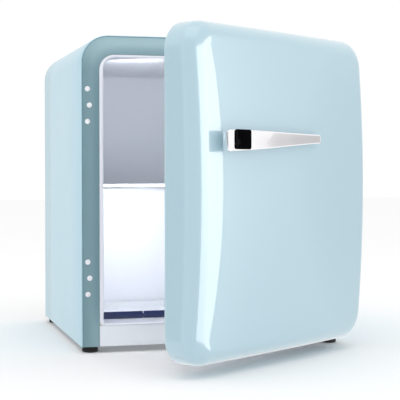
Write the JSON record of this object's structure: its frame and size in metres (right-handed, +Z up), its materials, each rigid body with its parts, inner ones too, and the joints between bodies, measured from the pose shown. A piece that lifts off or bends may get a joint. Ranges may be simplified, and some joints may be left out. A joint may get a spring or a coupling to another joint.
{
  "type": "tabletop refrigerator",
  "caption": "Pale blue retro tabletop refrigerator with a crowned door on side hinges, tapered chrome lever handle, white lined cavity with glass shelf, and rear compressor.",
  "frame": {"origin": "centre of the whole object's box on the floor, with the door standing open at rest", "axes": "+Z up, -Y out of the cabinet's front, +X to the hinge side"},
  "size_m": [0.4602, 0.7398, 0.51],
  "materials": {
    "cabinet_paint": "pale blue powder paint, satin gloss",
    "door_paint": "pale blue lacquer, high gloss",
    "frame_paint": "blue grey paint, satin",
    "liner_white": "vacuum-formed white polystyrene",
    "rail_white": "moulded white plastic",
    "tray_plastic": "moulded white plastic",
    "trim_white": "moulded white edge trim",
    "shelf_glass": "clear tempered glass, green edge",
    "smoked_plastic": "dark blue smoked plastic",
    "cap_plastic": "white moulded plug caps",
    "black_rubber": "moulded black rubber",
    "gasket_rubber": "soft magnetic door seal",
    "chrome": "polished chrome plating",
    "gloss_black": "gloss black inlay",
    "hinge_plating": "plated steel",
    "screw_steel": "zinc plated steel",
    "natural_plastic": "natural nylon",
    "galvanised": "galvanised sheet",
    "black_enamel": "black enamel, semi gloss",
    "black_plastic": "moulded black plastic",
    "copper_pipe": "drawn copper tube",
    "evaporator_aluminium": "roll-bonded aluminium plate",
    "foam": "rigid polyurethane foam",
    "knob_plastic": "pale grey moulded plastic"
  },
  "bodies": {
    "cabinet": {"cabinet_shell": "cabinet_paint", "front_frame": "frame_paint", "bottom_rail": "rail_white", "inner_liner": "liner_white", "evaporator_plate": "evaporator_aluminium", "condenser_coil": "black_enamel", "insulation_foam": "foam", "rear_panel": "galvanised", "base_plate": "galvanised", "cord_gland": "black_rubber", "bay_cover": "galvanised", "compressor": "black_enamel", "compressor_bracket": "black_enamel", "compressor_grommet_1": "black_rubber", "compressor_grommet_2": "black_rubber", "compressor_grommet_3": "black_rubber", "compressor_grommet_4": "black_rubber", "terminal_box": "black_plastic", "evaporation_pan": "black_plastic", "discharge_pipe": "copper_pipe", "suction_pipe": "copper_pipe", "filter_dryer": "copper_pipe", "shelf_glass": "shelf_glass", "shelf_trim": "trim_white", "drip_tray": "tray_plastic", "tray_front_trim": "smoked_plastic", "thermostat_housing": "liner_white", "foot_front_left": "black_rubber", "foot_front_right": "black_rubber", "foot_rear_left": "black_rubber", "foot_rear_right": "black_rubber", "plug_cap_lower_1": "cap_plastic", "hinge_screw_lower_1": "screw_steel", "plug_cap_lower_2": "cap_plastic", "hinge_screw_lower_2": "screw_steel", "plug_cap_lower_3": "cap_plastic", "hinge_screw_lower_3": "screw_steel", "plug_cap_upper_1": "cap_plastic", "hinge_screw_upper_1": "screw_steel", "plug_cap_upper_2": "cap_plastic", "hinge_screw_upper_2": "screw_steel", "plug_cap_upper_3": "cap_plastic", "hinge_screw_upper_3": "screw_steel", "hinge_bracket_lower": "hinge_plating", "hinge_pin_lower": "screw_steel", "hinge_bracket_upper": "hinge_plating", "hinge_pin_upper": "screw_steel"},
    "door": {"door_skin": "door_paint", "door_foam": "foam", "door_liner": "liner_white", "door_gasket": "gasket_rubber", "rack_lower": "tray_plastic", "rack_middle": "tray_plastic", "rack_upper": "tray_plastic", "hinge_bush_lower": "natural_plastic", "hinge_bush_upper": "natural_plastic", "handle_inlay": "gloss_black", "handle_lever": "chrome"},
    "thermostat_knob_body": {"thermostat_knob": "knob_plastic"}
  },
  "joints": [
    {"name": "door_hinge", "type": "hinge", "parent": "cabinet", "child": "door", "pos_m": [0.20288, -0.08114, 0.2615], "axis": [0, 0, 1], "range_deg": [-35.6, 69.4]},
    {"name": "thermostat_turn", "type": "hinge", "parent": "cabinet", "child": "thermostat_knob_body", "pos_m": [0.15228, 0.17486, 0.42], "axis": [-1, 0, 0], "range_deg": [0, 300]}
  ]
}
